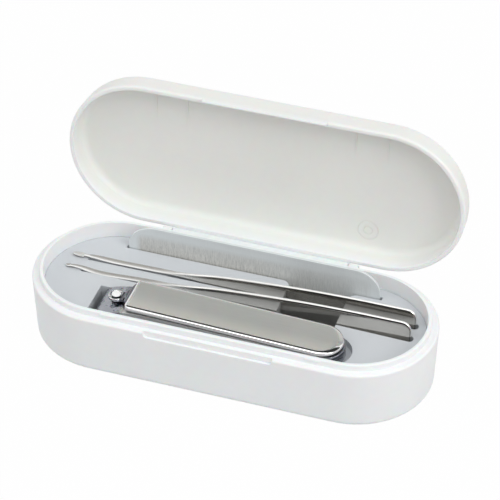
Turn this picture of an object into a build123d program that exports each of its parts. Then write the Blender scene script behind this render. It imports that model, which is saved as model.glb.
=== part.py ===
"""Manicure set case: a hinged plastic case whose moulded insert holds a nail file, two ear tools
and a nail clipper.

Millimetres. X runs along the case, +Y is the hinge side and +Z is up. The origin is the centre
of the base's underside. The lid is drawn closed and then turned open about its hinge pin, because
open is the pose that the case is stored in here.
"""
import math
import os

from build123d import *

# ---- Case ----
CASE_LENGTH = 125.0
CASE_WIDTH = 48.8
BASE_HEIGHT = 20.3  # underside to the shoulder that the lid's rim closes on
BASE_DRAFT = 2.4  # degrees
BASE_FOOT_ROUND = 2.0
RIM_ROUND = 0.7
FLOOR = 2.0
LIP_INSET = 2.3  # shoulder width
LIP_HEIGHT = 2.0
LIP_WALL = 1.1
CAVITY_DRAFT = 1.0  # degrees
LID_HEIGHT = 8.4
LID_DRAFT = 3.7  # degrees
LID_WALL = 1.5
LID_TOP_WALL = 1.5
LID_ROUND = 2.8
LID_OPEN = 93.0  # degrees
GAP = 0.3  # between parts that move past each other

# ---- Thumb notch, tab and snap beads ----
NOTCH_WIDTH = 39.6
NOTCH_HEIGHT = 2.0
NOTCH_DEPTH = 0.9
NOTCH_CORNER = 1.2
TAB_DROP = 1.3
BEAD_SPREAD = 31.4  # from the middle of the case to each bead
BEAD_WIDTH = 5.0
BEAD_RISE = 0.3
CATCH_RISE = 0.2
MARK_SPREAD = 9.9  # between the two ribs of a pair inside the lid
MARK_LENGTH = 13.5
MARK_WIDTH = 0.5
MARK_RISE = 0.25
GATE_RING = 3.4
GATE_DEPTH = 0.1

# ---- Hinge ----
HINGE_OUT = 0.5  # pin axis behind the back wall
HINGE_DROP = 1.7  # pin axis below the shoulder
BARREL_RADIUS = 1.7
PIN_RADIUS = 0.8
PIN_FIT = 0.02
BARREL_FIT = 0.07
HINGE_SPAN = 62.4
LUG_LENGTH = 2.9
TOE_LENGTH = 14.3
TOE_REACH = 3.6
TOE_DROP = 0.2
TOE_THICK = 1.5
WEB_INSET = 0.2  # web's face inside the back wall
WEB_RISE = 2.5  # web's top above the lid's rim
GUSSET_RISE = 6.4
LUG_FOOT = 5.4

# ---- Insert ----
TRAY_DROP = 3.3  # shoulder to the insert's top
TRAY_PLATE = 1.6
TRAY_WALL = 1.2
TRAY_FIT = 0.2  # round the skirt
PLATE_FIT = 0.06  # round the top plate
RECESS_MIDDLE = 22.3
RECESS_WIDTH = 18.6
RECESS_DEPTH = 11.0
RECESS_CORNER = 5.0
RECESS_FLARE = 2.6
SLOT_MOUTH = 1.0  # room in front of an ear tool's right end
SLOT_END_ROOM = 0.8

# ---- Nail file ----
FILE_LENGTH = 80.0
FILE_MIDDLE = 0.8
FILE_HEIGHT = 15.7
FILE_THICK = 0.8
FILE_INSET = 8.05  # case's back to the middle of the file's thickness
FILE_LID_ROOM = 1.4
FILE_LEFT_RUN = 9.5

# ---- Ear tools ----
TOOL_LEFT_ROOM = 8.3  # case's end to the tip
TOOL_RIGHT_ROOM = 8.1  # case's end to the handle's end
TOOL_HEIGHT = 10.0
TOOL_THICK = 1.4
TOOL_EDGE = 0.4  # rounding of the handle's edges
TOOL_RISE = 5.75  # handle's top edge above the insert
TOOL_CORNER = 2.2
ROD_RADIUS = 0.72
ROD_TIP_RADIUS = 0.5
GROOVE_DEPTH = 1.2
GROOVE_END_ROOM = 0.4
SCRAPER_PITCH = 12.65  # clipper's row to the front ear tool's
SPOON_PITCH = 5.85  # front ear tool's row to the rear one's
BOWL_LENGTH = 4.8
BOWL_WIDTH = 2.5
BOWL_DEPTH = 0.45
BOWL_WALL = 0.35
SCRAPER_TIP_HALF = 0.3  # half its thickness

# ---- Nail clipper ----
CLIP_LENGTH = 76.7
CLIP_WIDTH = 12.8
CLIP_HEIGHT = 18.0  # post's foot to the high end of the lever
CLIP_MIDDLE = -0.35
CLIP_INSET = 13.3  # case's front to the clipper's middle
CLIP_RISE = 6.2  # high end of the lever above the insert
CLIP_ROOM = 0.7
CLIP_END_ROOM = 1.9
STRIP = 1.6
POST_AT = 5.8  # from the tip of the jaws
POST_RADIUS = 1.3
POST_HEAD_RADIUS = 1.4
POST_HEAD = 0.6
POST_DOME = 0.45
POST_NOTCH = 0.5  # depth of the notch past the post's axis, towards the jaws
POST_FOOT_RADIUS = 2.2
POST_FOOT = 0.5
RIVET_AT = 72.4
RIVET_RADIUS = 1.5
RIVET_HEAD_RADIUS = 2.4
RIVET_HEAD = 0.35
LEVER_THICK = 1.4
LEVER_WIDTH = 14.3
LEVER_CORNER = 2.0  # rounding of the plate's left corners
LEVER_START = 10.6
LEVER_END = 76.4
LEVER_FALL = 2.1
LEVER_BEVEL = 0.5
EYE_THICK = 0.9
EYE_BOTTOM = 14.9
EYE_RADIUS = 2.4
EYE_HOLE = 1.85
BAR_REACH = 0.95  # from the post's axis to the near side of the lever's bar
BAR_THICK = 0.45
NECK_HALF = 2.0  # half width at the ring
NECK_SHOULDER = 1.65  # plate's half width past the neck's

# The clipper's side view is drawn at this length and height, then scaled to the sizes above.
DRAWN_LENGTH = 77.0
DRAWN_HEIGHT = 18.0
UPPER_ARM_LINE = [(76.9, 13.0), (67.7, 13.1), (48.7, 13.65), (28.7, 14.15), (16.7, 14.4), (12.2, 14.3),
                  (8.7, 13.75), (5.7, 13.0), (3.2, 12.3), (1.4, 11.6), (0.5, 11.2)]
LOWER_ARM_LINE = [(76.9, 11.0), (68.7, 10.9), (58.7, 9.8), (43.7, 7.4), (28.7, 4.6), (16.7, 2.5),
                  (10.7, 1.75), (5.7, 1.9), (2.6, 3.4), (1.1, 6.1), (0.45, 9.0)]
ARM_TAPER = [1.0, 1.0, 1.0, 1.0, 1.0, 1.0, 1.0, 1.0, 0.95, 0.7, 0.3]
# Ear tool's handle: (share of the length from the right end, share of the half height)
HANDLE_LINE = [(0.0, 1.0), (0.13, 1.0), (0.27, 0.94), (0.39, 0.82), (0.50, 0.65), (0.59, 0.44),
               (0.635, 0.29), (0.67, 0.21), (0.71, 0.165)]
# Ear tools' rods: (share of the length from the tip, share of the half height above the axis)
SPOON_ROD_LINE = [(0.193, 0.0), (0.11, 0.0), (0.069, 0.03), (0.0368, 0.01)]
SCRAPER_ROD_LINE = [(0.157, -0.12), (0.106, -0.15), (0.078, -0.09), (0.0415, 0.04), (0.0138, 0.02)]
SCRAPER_TIP = (0.013, 0.0087, 0.0)  # half length and half width as shares of the length, and height

# ---- Derived ----
TRAY_TOP = BASE_HEIGHT - TRAY_DROP
RIM_Z = BASE_HEIGHT + GAP
CAVITY_INSET = LIP_INSET + LIP_WALL
LID_CEILING = RIM_Z + LID_HEIGHT - LID_TOP_WALL
HINGE_Y = CASE_WIDTH / 2 + HINGE_OUT
HINGE_Z = BASE_HEIGHT - HINGE_DROP
HINGE_AXIS = Axis((0, HINGE_Y, HINGE_Z), (1, 0, 0))
CAVITY_SLOPE = math.tan(math.radians(CAVITY_DRAFT))
TRAY_INSET = CAVITY_INSET + TRAY_FIT + (BASE_HEIGHT + LIP_HEIGHT - FLOOR) * CAVITY_SLOPE
PLATE_INSET = CAVITY_INSET + PLATE_FIT + (BASE_HEIGHT + LIP_HEIGHT - TRAY_TOP + TRAY_PLATE) * CAVITY_SLOPE
CLIP_ROW = -CASE_WIDTH / 2 + CLIP_INSET
SCRAPER_ROW = CLIP_ROW + SCRAPER_PITCH
SPOON_ROW = SCRAPER_ROW + SPOON_PITCH
FILE_ROW = CASE_WIDTH / 2 - FILE_INSET
CLIP_LEFT = CLIP_MIDDLE - CLIP_LENGTH / 2
CLIP_BOTTOM = TRAY_TOP + CLIP_RISE - CLIP_HEIGHT
POST_X = CLIP_LEFT + POST_AT
TOOL_LENGTH = CASE_LENGTH - TOOL_LEFT_ROOM - TOOL_RIGHT_ROOM
TOOL_RIGHT = CASE_LENGTH / 2 - TOOL_RIGHT_ROOM
TOOL_LEFT = TOOL_RIGHT - TOOL_LENGTH
TOOL_AXIS_Z = TRAY_TOP + TOOL_RISE - TOOL_HEIGHT / 2


def stadium(inset, z, height, taper=0.0, down=False):
    """Prism of the case's outline, drawn in by inset at z and tapering away from there."""
    plane = Plane(origin=(0, 0, z), x_dir=(1, 0, 0), z_dir=(0, 0, -1 if down else 1))
    outline = SlotOverall(CASE_LENGTH - 2 * inset, CASE_WIDTH - 2 * inset)
    return extrude(plane * outline, amount=height, taper=taper)


def block(x0, x1, y0, y1, z0, z1):
    """Box between two corners."""
    return Pos((x0 + x1) / 2, (y0 + y1) / 2, (z0 + z1) / 2) * Box(x1 - x0, y1 - y0, z1 - z0)


def x_prism(face, x0, x1):
    """Prism of a face drawn in (y, z), from x0 to x1."""
    return extrude(Plane.YZ.offset(x0) * face, amount=x1 - x0)


def y_prism(face, y0, y1):
    """Prism of a face drawn in (x, z), from y0 to y1."""
    return extrude(Plane(origin=(0, y1, 0), x_dir=(1, 0, 0), z_dir=(0, -1, 0)) * face, amount=y1 - y0)


def post(radius, x, y, z0, z1):
    """Upright cylinder from z0 to z1."""
    return extrude(Plane(origin=(x, y, z0)) * Circle(radius), amount=z1 - z0)


def hinge_rod(radius, x0, x1):
    """Cylinder on the hinge axis."""
    return x_prism(Pos(HINGE_Y, HINGE_Z) * Circle(radius), x0, x1)


def edges_at(part, z):
    """Edges that lie level at height z."""
    return part.edges().filter_by(lambda e: abs(e.bounding_box().min.Z - z) < 1e-3
                                  and abs(e.bounding_box().max.Z - z) < 1e-3)


def hinge_bays():
    """Spans in X of the base's two lugs and of the lid's knuckle between them."""
    end = HINGE_SPAN / 2
    inner = end - LUG_LENGTH
    return [(-end, -inner), (inner, end)], (-inner + GAP, inner - GAP)


def base_lug(x0, x1):
    """One of the base's hinge lugs with its foot on the back wall."""
    wall = CASE_WIDTH / 2
    foot = make_face(Polyline((wall - 1.4, BASE_HEIGHT - 0.1), (wall - 1.4, HINGE_Z - LUG_FOOT),
                              (wall - 0.4, HINGE_Z - LUG_FOOT), (HINGE_Y + BARREL_RADIUS - 0.05, HINGE_Z - 0.4),
                              (HINGE_Y, HINGE_Z), close=True))
    return x_prism(foot, x0, x1) + hinge_rod(BARREL_RADIUS, x0, x1)


def snap_bead(x, y, z0, z1, rise):
    """Low rounded bead that stands out of a wall face at y towards -Y."""
    bead = block(x - BEAD_WIDTH / 2, x + BEAD_WIDTH / 2, y - rise, y + 0.4, z0, z1)
    face = bead.faces().sort_by(Axis.Y)[0]
    return chamfer(face.edges(), rise * 0.6)


def case_base():
    """Base shell: drafted wall, shoulder, inner lip, notch, beads and hinge lugs."""
    shell = stadium(0, BASE_HEIGHT, BASE_HEIGHT, BASE_DRAFT, down=True)
    shell = fillet(edges_at(shell, 0), BASE_FOOT_ROUND)
    shell = fillet(edges_at(shell, BASE_HEIGHT), RIM_ROUND)
    lip = stadium(LIP_INSET, BASE_HEIGHT - 1, LIP_HEIGHT + 1)
    lip = fillet(edges_at(lip, BASE_HEIGHT + LIP_HEIGHT), LIP_WALL * 0.35)
    lip_face = -CASE_WIDTH / 2 + LIP_INSET
    for x in (-BEAD_SPREAD, BEAD_SPREAD):
        lip += snap_bead(x, lip_face, BASE_HEIGHT + LIP_HEIGHT * 0.5, BASE_HEIGHT + LIP_HEIGHT * 0.88, BEAD_RISE)
    lugs, (knuckle_x0, knuckle_x1) = hinge_bays()
    for x0, x1 in lugs:
        shell += base_lug(x0, x1)
    cavity = stadium(CAVITY_INSET, BASE_HEIGHT + LIP_HEIGHT, BASE_HEIGHT + LIP_HEIGHT - FLOOR, CAVITY_DRAFT, down=True)
    base = shell + lip - cavity - hinge_rod(BARREL_RADIUS + GAP, knuckle_x0 - GAP, knuckle_x1 + GAP)
    notch = RectangleRounded(NOTCH_WIDTH, NOTCH_HEIGHT * 2, NOTCH_CORNER)
    base -= y_prism(Pos(0, BASE_HEIGHT) * notch, -CASE_WIDTH / 2 - 1, -CASE_WIDTH / 2 + NOTCH_DEPTH)
    return base - hinge_rod(PIN_RADIUS + PIN_FIT, -HINGE_SPAN / 2 - 1, HINGE_SPAN / 2 + 1)


def lid_knuckle(x0, x1):
    """Lid's long hinge knuckle with the web that carries it along the back wall."""
    wall, face = CASE_WIDTH / 2, CASE_WIDTH / 2 - WEB_INSET
    web = make_face(Polyline((wall - LID_WALL * 0.6, RIM_Z + GAP / 2), (wall - LID_WALL * 0.6, RIM_Z + WEB_RISE),
                             (HINGE_Y + BARREL_RADIUS - 0.05, HINGE_Z + 0.4), (HINGE_Y, HINGE_Z - BARREL_RADIUS / 2),
                             (face, HINGE_Z), (face, RIM_Z + GAP / 2), close=True))
    return x_prism(web, x0, x1) + hinge_rod(BARREL_RADIUS, x0, x1)


def lid_toe(x0, x1):
    """Toe behind the knuckle that meets the base's back wall and stops the lid when it is open."""
    wall, face = CASE_WIDTH / 2, CASE_WIDTH / 2 - WEB_INSET
    toe_y = HINGE_Y + TOE_REACH
    toe = make_face(Polyline((wall - LID_WALL * 0.6, RIM_Z + GAP / 2), (wall - LID_WALL * 0.6, HINGE_Z + GUSSET_RISE),
                             (toe_y, HINGE_Z - TOE_DROP + TOE_THICK), (toe_y, HINGE_Z - TOE_DROP),
                             (HINGE_Y, HINGE_Z - TOE_DROP), (face, HINGE_Z), (face, RIM_Z + GAP / 2), close=True))
    return x_prism(toe, x0, x1)


def case_lid():
    """Lid shell in its closed place, turned open about the pin."""
    shell = stadium(0, RIM_Z, LID_HEIGHT, LID_DRAFT)
    shell = fillet(edges_at(shell, RIM_Z + LID_HEIGHT), LID_ROUND)
    shell = fillet(edges_at(shell, RIM_Z), RIM_ROUND)
    hollow = stadium(LID_WALL, RIM_Z, LID_HEIGHT - LID_TOP_WALL, LID_DRAFT)
    hollow = fillet(edges_at(hollow, LID_CEILING), LID_ROUND - LID_WALL * 0.4)
    front = -CASE_WIDTH / 2
    rib = make_face(Polyline((front + LID_ROUND, LID_CEILING + 1), (front + LID_ROUND, LID_CEILING - MARK_RISE),
                             (front + LID_ROUND + MARK_LENGTH, LID_CEILING), (front + LID_ROUND + MARK_LENGTH, LID_CEILING + 1),
                             close=True))
    for x in (-BEAD_SPREAD, BEAD_SPREAD):
        for side in (-MARK_SPREAD / 2, MARK_SPREAD / 2):
            hollow -= x_prism(rib, x + side - MARK_WIDTH / 2, x + side + MARK_WIDTH / 2)
    ring = Circle(GATE_RING) - Circle(GATE_RING - 0.4) + Circle(GATE_RING * 0.45) - Circle(GATE_RING * 0.45 - 0.3)
    hollow += extrude(Plane(origin=(BEAD_SPREAD, CASE_WIDTH * 0.32, LID_CEILING - 0.5)) * ring, amount=0.5 + GATE_DEPTH)
    knuckle_x0, knuckle_x1 = hinge_bays()[1]
    hinge = lid_knuckle(knuckle_x0, knuckle_x1)
    for x in (-HINGE_SPAN / 4, HINGE_SPAN / 4):
        hinge += lid_toe(x - TOE_LENGTH / 2, x + TOE_LENGTH / 2)
    lid = shell - hollow + (hinge - hollow)
    half_tab = NOTCH_WIDTH / 2 - GAP * 2
    lid += block(-half_tab, half_tab, front + 0.03, front + NOTCH_DEPTH - GAP, RIM_Z - TAB_DROP, RIM_Z + 1)
    catch_face = front + LID_WALL
    for x in (-BEAD_SPREAD, BEAD_SPREAD):
        catch = block(x - BEAD_WIDTH / 2, x + BEAD_WIDTH / 2, catch_face - 0.5, catch_face + CATCH_RISE,
                      RIM_Z + 0.15, RIM_Z + 0.55)
        lid += catch
    lid -= hinge_rod(PIN_RADIUS + BARREL_FIT, -HINGE_SPAN / 2 - 1, HINGE_SPAN / 2 + 1)
    return lid.rotate(HINGE_AXIS, -LID_OPEN)


def hinge_pin():
    """Steel pin through every lug and barrel, with softened ends."""
    pin = hinge_rod(PIN_RADIUS, -HINGE_SPAN / 2 + GAP, HINGE_SPAN / 2 - GAP)
    return chamfer(pin.edges(), 0.2)


def clip_point(x, z):
    """Point of the clipper's side view in the case's frame."""
    return (CLIP_LEFT + x * CLIP_LENGTH / DRAWN_LENGTH, CLIP_BOTTOM + z * CLIP_HEIGHT / DRAWN_HEIGHT)


def pocket_box():
    """Clipper pocket: ends in X, sides in Y, floor of the deep part and start and floor of the tail's seat."""
    half = CLIP_WIDTH / 2 + CLIP_ROOM
    seat_z = clip_point(*LOWER_ARM_LINE[0])[1] - STRIP / 2 - RIVET_HEAD - GAP
    seat_x = RECESS_MIDDLE + RECESS_WIDTH / 2
    return (CLIP_LEFT - CLIP_END_ROOM, CLIP_LEFT + CLIP_LENGTH + CLIP_END_ROOM, CLIP_ROW - half,
            CLIP_ROW + half, CLIP_BOTTOM - GAP, seat_x, seat_z)


def clipper_pocket():
    """Space of the clipper pocket, rounded at the tail, with the raised seat left standing."""
    x0, x1, y0, y1, floor, seat_x, seat_z = pocket_box()
    half = (y1 - y0) / 2
    top = TRAY_TOP + 1
    deep = block(x0, seat_x, y0, y1, floor, top)
    tail = block(seat_x - 1, x1 - half, y0, y1, seat_z, top) + post(half, x1 - half, (y0 + y1) / 2, seat_z, top)
    return deep + tail


def tool_slot(row):
    """Slot for one ear tool: deep under the handle, a groove under the rod and a wider mouth at the right."""
    half = TOOL_THICK / 2 + GAP
    handle_left = TOOL_RIGHT - HANDLE_LINE[-1][0] * TOOL_LENGTH - 1
    floor = TOOL_AXIS_Z - TOOL_HEIGHT / 2 - GAP
    front = row - TOOL_THICK / 2 - SLOT_MOUTH
    radius = (row + half - front) / 2
    mouth_x = TOOL_RIGHT + SLOT_END_ROOM - radius
    flare_x = RECESS_MIDDLE + RECESS_WIDTH / 2
    outline = make_face(Polyline((handle_left, row - half), (flare_x, row - half), (mouth_x, front),
                                 (mouth_x, row + half), (handle_left, row + half), close=True))
    deep = extrude(Plane(origin=(0, 0, floor)) * outline, amount=TRAY_TOP + 1 - floor)
    deep += post(radius, mouth_x, front + radius, floor, TRAY_TOP + 1)
    groove = block(TOOL_LEFT + BOWL_LENGTH + GROOVE_END_ROOM, handle_left + 1, row - half, row + half,
                   TRAY_TOP - GROOVE_DEPTH, TRAY_TOP + 1)
    return deep + groove


def finger_recess(margin):
    """Finger recess across the slots, or the wall round it when margin is its thickness."""
    width, depth = RECESS_WIDTH + 2 * margin, RECESS_DEPTH + margin
    profile = RectangleRounded(width, depth * 2, RECESS_CORNER)
    back = FILE_ROW + FILE_THICK / 2 + 2.0 + margin
    return y_prism(Pos(RECESS_MIDDLE, TRAY_TOP) * profile, CLIP_ROW + CLIP_WIDTH / 2, back)


def recess_flare():
    """Rounded corners where the recess opens out into the file's slot."""
    half, front = RECESS_WIDTH / 2, FILE_ROW - FILE_THICK / 2 - GAP
    corner = Pos(half + RECESS_FLARE / 2, front - RECESS_FLARE / 2) * Rectangle(RECESS_FLARE, RECESS_FLARE)
    corner -= Pos(half + RECESS_FLARE, front - RECESS_FLARE) * Circle(RECESS_FLARE)
    both = corner + mirror(corner, Plane.YZ)
    return extrude(Plane(origin=(RECESS_MIDDLE, 0, TRAY_TOP - TRAY_PLATE - 0.1)) * both, amount=TRAY_PLATE + 1)


def tray_insert():
    """Moulded insert: top plate, skirt and thin-walled pockets for every tool."""
    plate_z = TRAY_TOP - TRAY_PLATE
    x0, x1, y0, y1, floor, seat_x, seat_z = pocket_box()
    wall = TRAY_WALL
    skirt_height = plate_z - FLOOR + 0.1
    skirt = stadium(TRAY_INSET, FLOOR, skirt_height) - stadium(TRAY_INSET + wall, FLOOR, skirt_height)
    under = block(x0 - wall, seat_x + wall, y0 - wall, y1 + wall, floor - wall, plate_z + 0.1)
    under += block(seat_x, x1 + wall, y0 - wall, y1 + wall, seat_z - wall, plate_z + 0.1)
    tool_floor = TOOL_AXIS_Z - TOOL_HEIGHT / 2 - GAP - wall
    tool_left = TOOL_RIGHT - HANDLE_LINE[-1][0] * TOOL_LENGTH - 1 - wall
    tool_front = SCRAPER_ROW - TOOL_THICK / 2 - SLOT_MOUTH - wall
    tool_back = SPOON_ROW + TOOL_THICK / 2 + GAP + wall
    under += block(tool_left, TOOL_RIGHT + SLOT_END_ROOM + wall, tool_front, tool_back, tool_floor, plate_z + 0.1)
    file_z = LID_CEILING - FILE_LID_ROOM - FILE_HEIGHT - GAP
    file_half = FILE_LENGTH / 2 + GAP * 2
    file_side = FILE_THICK / 2 + GAP
    under += block(FILE_MIDDLE - file_half - wall, FILE_MIDDLE + file_half + wall, FILE_ROW - file_side - wall,
                   FILE_ROW + file_side + wall, file_z - wall, plate_z + 0.1)
    under += finger_recess(wall) & block(-CASE_LENGTH, CASE_LENGTH, -CASE_WIDTH, CASE_WIDTH, FLOOR, plate_z + 0.1)
    inside = stadium(TRAY_INSET, FLOOR, TRAY_TOP - FLOOR)
    insert = stadium(PLATE_INSET, plate_z, TRAY_PLATE) + skirt + (under & inside)
    insert -= clipper_pocket()
    insert -= tool_slot(SCRAPER_ROW) + tool_slot(SPOON_ROW)
    insert -= block(FILE_MIDDLE - file_half, FILE_MIDDLE + file_half, FILE_ROW - file_side,
                    FILE_ROW + file_side, file_z, TRAY_TOP + 1)
    return insert - finger_recess(0) - recess_flare()


def nail_file():
    """File blade on edge: full round right end and a longer, slimmer round at the left."""
    radius = FILE_HEIGHT / 2
    left, right = FILE_MIDDLE - FILE_LENGTH / 2, FILE_MIDDLE + FILE_LENGTH / 2
    z = LID_CEILING - FILE_LID_ROOM - radius
    middle = (left + FILE_LEFT_RUN + right - radius) / 2
    outline = Pos(middle, z) * Rectangle(right - radius - left - FILE_LEFT_RUN, FILE_HEIGHT)
    outline += Pos(right - radius, z) * Circle(radius)
    outline += Pos(left + FILE_LEFT_RUN, z) * Ellipse(FILE_LEFT_RUN, radius)
    blade = y_prism(outline, FILE_ROW - FILE_THICK / 2, FILE_ROW + FILE_THICK / 2)
    return blade


def tool_handle(row):
    """Flat handle on edge that tapers to the rod."""
    half = TOOL_HEIGHT / 2
    upper = [(TOOL_RIGHT - s * TOOL_LENGTH, TOOL_AXIS_Z + h * half) for s, h in HANDLE_LINE]
    lower = [(x, 2 * TOOL_AXIS_Z - z) for x, z in upper]
    outline = make_face([Line(upper[0], upper[1]), Spline(*upper[1:], tangents=[(-1, 0), (-1, -0.02)]),
                         Line(upper[-1], lower[-1]), Spline(*lower[:0:-1], tangents=[(1, -0.02), (1, 0)]),
                         Line(lower[1], lower[0]), Line(lower[0], upper[0])])
    handle = y_prism(outline, row - TOOL_THICK / 2, row + TOOL_THICK / 2)
    handle = fillet(handle.edges().filter_by(Axis.Y).group_by(Axis.X)[-1], TOOL_CORNER)
    sides = handle.faces().sort_by(Axis.Y)
    rims = (sides[0].edges() + sides[-1].edges()).filter_by(lambda e: e.center().X > upper[-1][0] + 0.01)
    return chamfer(rims, TOOL_EDGE)


def tool_rod(row, rod_line):
    """Thin round rod from the handle along a line of shares of the tool's size, slimmer at its tip."""
    points = [(TOOL_RIGHT - (HANDLE_LINE[-1][0] - 0.015) * TOOL_LENGTH, row, TOOL_AXIS_Z)]
    points += [(TOOL_LEFT + s * TOOL_LENGTH, row, TOOL_AXIS_Z + h * TOOL_HEIGHT / 2) for s, h in rod_line]
    line = Spline(*points, tangents=[(-1, 0, 0), (points[-1][0] - points[-2][0], 0, points[-1][2] - points[-2][2])])
    first = Plane(origin=line @ 0, z_dir=line % 0) * Circle(ROD_RADIUS)
    last = Plane(origin=line @ 1, z_dir=line % 1) * Circle(ROD_TIP_RADIUS)
    return sweep([first, last], path=line, multisection=True)


def ear_spoon():
    """Rear ear tool: rod that ends in a small open spoon, hollow side up."""
    x, z, wall = TOOL_LEFT + BOWL_LENGTH / 2, TOOL_AXIS_Z, BOWL_WALL
    outer = Pos(x, SPOON_ROW, z) * scale(Sphere(1), by=(BOWL_LENGTH / 2, BOWL_WIDTH / 2, BOWL_DEPTH))
    hollow = Pos(x, SPOON_ROW, z + wall / 2) * scale(Sphere(1), by=(BOWL_LENGTH / 2 - wall, BOWL_WIDTH / 2 - wall, BOWL_DEPTH))
    above = block(x - BOWL_LENGTH, x + BOWL_LENGTH * 0.32, SPOON_ROW - BOWL_WIDTH, SPOON_ROW + BOWL_WIDTH, z, z + 2)
    return tool_handle(SPOON_ROW) + tool_rod(SPOON_ROW, SPOON_ROD_LINE) + outer - above - hollow


def ear_scraper():
    """Front ear tool: rod that dips, then arches over to a small flat tip."""
    half_length, half_width, rise = (share * TOOL_LENGTH for share in SCRAPER_TIP)
    plane = Plane(origin=(TOOL_LEFT + half_length, SCRAPER_ROW, TOOL_AXIS_Z + rise), x_dir=(1, 0, 0.1), z_dir=(-0.1, 0, 1))
    tip = extrude(plane * Ellipse(half_length, half_width), amount=SCRAPER_TIP_HALF, both=True)
    return tool_handle(SCRAPER_ROW) + tool_rod(SCRAPER_ROW, SCRAPER_ROD_LINE) + fillet(tip.edges(), SCRAPER_TIP_HALF / 2)


def strip_face(line, thickness):
    """Side view of a bent strip with a tapered end, from its middle line."""
    points = [clip_point(*p) for p in line]
    upper, lower = [], []
    for i, (x, z) in enumerate(points):
        (x0, z0), (x1, z1) = points[max(i - 1, 0)], points[min(i + 1, len(points) - 1)]
        run = math.hypot(x1 - x0, z1 - z0)
        half = thickness * ARM_TAPER[i] / 2
        nx, nz = -(z1 - z0) / run * half, (x1 - x0) / run * half
        upper.append((x + nx, z + nz))
        lower.append((x - nx, z - nz))
    return make_face([Spline(*upper), Line(upper[-1], lower[-1]), Spline(*lower[::-1]), Line(lower[0], upper[0])])


def arm_plan():
    """Clipper arm from above: straight sides and a round tail."""
    radius = CLIP_WIDTH / 2
    right = CLIP_LEFT + CLIP_LENGTH
    column = block(CLIP_LEFT - 1, right - radius, CLIP_ROW - radius, CLIP_ROW + radius, 0, TRAY_TOP * 2)
    return column + post(radius, right - radius, CLIP_ROW, 0, TRAY_TOP * 2)


def clipper_arm(line, post_radius, rivet_radius):
    """Bent spring arm with its jaw, drilled for the post and the rivet."""
    arm = y_prism(strip_face(line, STRIP), CLIP_ROW - CLIP_WIDTH, CLIP_ROW + CLIP_WIDTH) & arm_plan()
    arm -= post(post_radius, POST_X, CLIP_ROW, 0, TRAY_TOP * 2)
    return arm - post(rivet_radius, clip_point(RIVET_AT, 0)[0], CLIP_ROW, 0, TRAY_TOP * 2)


def clipper_lower_arm():
    """Lower arm, a running fit on the post and the rivet."""
    return clipper_arm(LOWER_ARM_LINE, POST_RADIUS + PIN_FIT, RIVET_RADIUS + PIN_FIT)


def clipper_upper_arm():
    """Upper arm, free round the post and the rivet so that it can spring down."""
    return clipper_arm(UPPER_ARM_LINE, POST_RADIUS + GAP, RIVET_RADIUS + GAP)


def clipper_rivet():
    """Tail rivet with its head under the lower arm."""
    x = clip_point(RIVET_AT, 0)[0]
    under = clip_point(*LOWER_ARM_LINE[0])[1] - STRIP / 2 - 0.1
    top = clip_point(*UPPER_ARM_LINE[0])[1] + STRIP / 2
    head = post(RIVET_HEAD_RADIUS, x, CLIP_ROW, under - RIVET_HEAD, under)
    return post(RIVET_RADIUS, x, CLIP_ROW, under - RIVET_HEAD, top) + head


def bar_level():
    """Height of the underside of the lever's bar."""
    return clip_point(0, EYE_BOTTOM)[1] - 0.1


def clipper_post():
    """Post with a foot under the lower jaw and a domed head that is notched for the lever's bar."""
    notch_top = bar_level() + BAR_THICK + GAP
    head = post(POST_HEAD_RADIUS, POST_X, CLIP_ROW, bar_level() - GAP - POST_HEAD, notch_top + POST_HEAD)
    body = post(POST_FOOT_RADIUS, POST_X, CLIP_ROW, CLIP_BOTTOM, CLIP_BOTTOM + POST_FOOT)
    body += post(POST_RADIUS, POST_X, CLIP_ROW, CLIP_BOTTOM, notch_top)
    body += fillet(head.edges().sort_by(Axis.Z)[-1], POST_DOME)
    wide = POST_HEAD_RADIUS * 2
    notch = block(POST_X - wide, POST_X - POST_NOTCH, CLIP_ROW - wide, CLIP_ROW + wide, bar_level() - GAP, notch_top)
    return body - notch


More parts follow.
